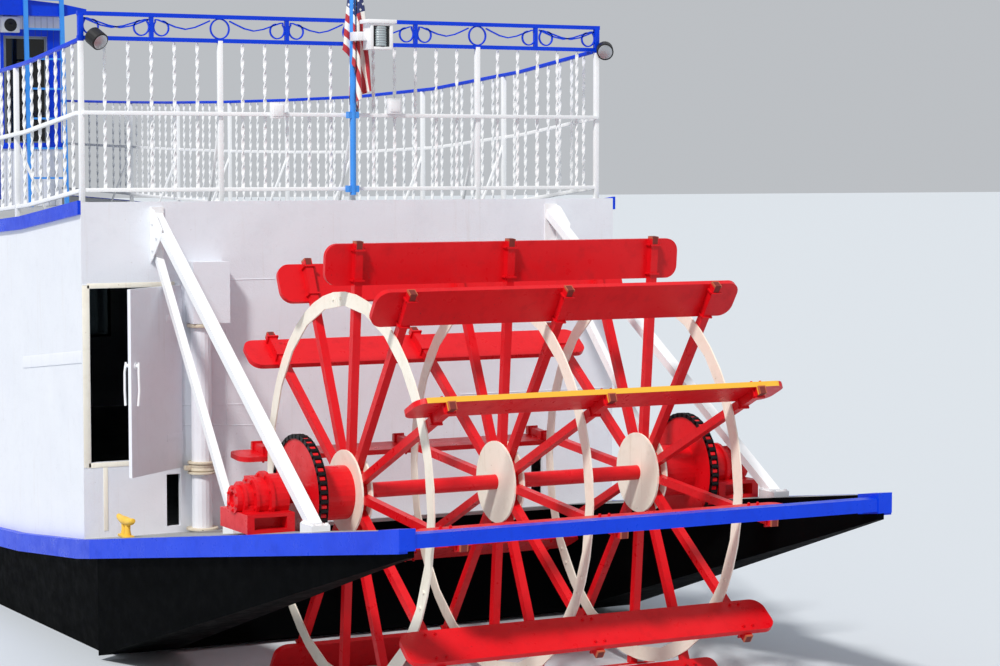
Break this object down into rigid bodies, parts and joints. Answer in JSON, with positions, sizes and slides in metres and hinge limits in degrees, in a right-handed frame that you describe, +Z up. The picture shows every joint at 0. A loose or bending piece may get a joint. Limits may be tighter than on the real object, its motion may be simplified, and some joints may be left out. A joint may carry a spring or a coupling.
{
  "type": "sternwheel paddle steamer",
  "caption": "Two-deck sternwheel excursion boat: flat-bottomed hull, hollow house and pilothouse, railed upper deck, and a spoked paddle wheel between stern arms.",
  "frame": {"origin": "amidships, on the centreline, at the waterline", "axes": "+X to port, +Y aft, +Z up"},
  "size_m": [5.4406, 23.848, 8.0261],
  "materials": {
    "wheel_red": "gloss paint",
    "wheel_cream": "gloss paint",
    "house_white": "satin paint",
    "trim_blue": "gloss paint",
    "hull_black": "satin paint",
    "deck_grey": "non-slip paint",
    "stack_black": "matt paint",
    "helm_wood": "varnish",
    "cleat_yellow": "gloss paint",
    "engine_grey": "painted",
    "lamp_white": "gloss paint",
    "flag_cloth": "woven nylon"
  },
  "bodies": {
    "boat": {"hull": "hull_black", "main_deck": "deck_grey", "port_arm": "hull_black", "starboard_arm": "hull_black", "guard": "trim_blue", "stern_beam": "trim_blue", "port_wall": "house_white", "starboard_wall": "house_white", "transom_wall": "house_white", "front_wall": "house_white", "upper_deck": "deck_grey", "fascia": "trim_blue", "pilothouse_ladder": "trim_blue", "stern_rail": "house_white", "stern_truss": "trim_blue", "port_rail": "house_white", "starboard_rail": "house_white", "front_rail": "house_white", "pilothouse_port": "house_white", "pilothouse_starboard": "house_white", "pilothouse_front": "house_white", "pilothouse_aft": "house_white", "pilothouse_roof": "trim_blue", "helm": "helm_wood", "port_stack": "stack_black", "starboard_stack": "stack_black", "flagstaff": "trim_blue", "stern_light": "lamp_white", "port_drive": "wheel_red", "starboard_drive": "wheel_red", "port_struts": "house_white", "starboard_struts": "house_white", "exhaust": "house_white", "port_bow_rail": "house_white", "starboard_bow_rail": "house_white", "engine": "engine_grey", "port_cleat": "cleat_yellow", "flag": "flag_cloth", "port_floodlight": "stack_black", "starboard_floodlight": "stack_black"},
    "wheel": {"wheel_shaft": "wheel_red", "middle_spokes_and_boards": "wheel_red", "port_spokes": "wheel_red", "starboard_spokes": "wheel_red", "middle_hub": "wheel_cream", "port_hub": "wheel_cream", "starboard_hub": "wheel_cream", "middle_ring": "wheel_cream", "port_ring": "wheel_cream", "starboard_ring": "wheel_cream", "port_sprocket": "wheel_red", "starboard_sprocket": "wheel_red"},
    "service_door": {"transom_door": "house_white"},
    "port_entrance": {"port_front_door": "trim_blue"},
    "starboard_entrance": {"starboard_front_door": "trim_blue"},
    "pilot_entrance": {"pilothouse_door": "trim_blue"},
    "port_rudder_blade": {"port_rudder": "hull_black"},
    "starboard_rudder_blade": {"starboard_rudder": "hull_black"}
  },
  "joints": [
    {"name": "wheel_spin", "type": "hinge", "parent": "boat", "child": "wheel", "pos_m": [0, 8.4, 1.65], "axis": [1, 0, 0], "continuous": true},
    {"name": "service_door_swing", "type": "hinge", "parent": "boat", "child": "service_door", "pos_m": [1.762, 5.72, 2.4], "axis": [0, 0, 1], "range_deg": [-39, 0]},
    {"name": "port_entrance_swing", "type": "hinge", "parent": "boat", "child": "port_entrance", "pos_m": [0.76, -7.808, 1.8], "axis": [0, 0, 1], "range_deg": [0, 100]},
    {"name": "starboard_entrance_swing", "type": "hinge", "parent": "boat", "child": "starboard_entrance", "pos_m": [-0.76, -7.808, 1.8], "axis": [0, 0, -1], "range_deg": [0, 100]},
    {"name": "pilot_entrance_swing", "type": "hinge", "parent": "boat", "child": "pilot_entrance", "pos_m": [0.35, -6.662, 4.9], "axis": [0, 0, -1], "range_deg": [0, 100]},
    {"name": "rudder_turn", "type": "hinge", "parent": "boat", "child": "port_rudder_blade", "pos_m": [1.1, 5.75, -0.5], "axis": [0, 0, 1], "range_deg": [-35, 35]},
    {"name": "rudder_follow", "type": "hinge", "parent": "boat", "child": "starboard_rudder_blade", "pos_m": [-1.1, 5.75, -0.5], "axis": [0, 0, 1], "range_deg": [-35, 35]}
  ],
  "couplings": [
    {"joint": "rudder_follow", "follows": "rudder_turn", "ratio": 1}
  ]
}
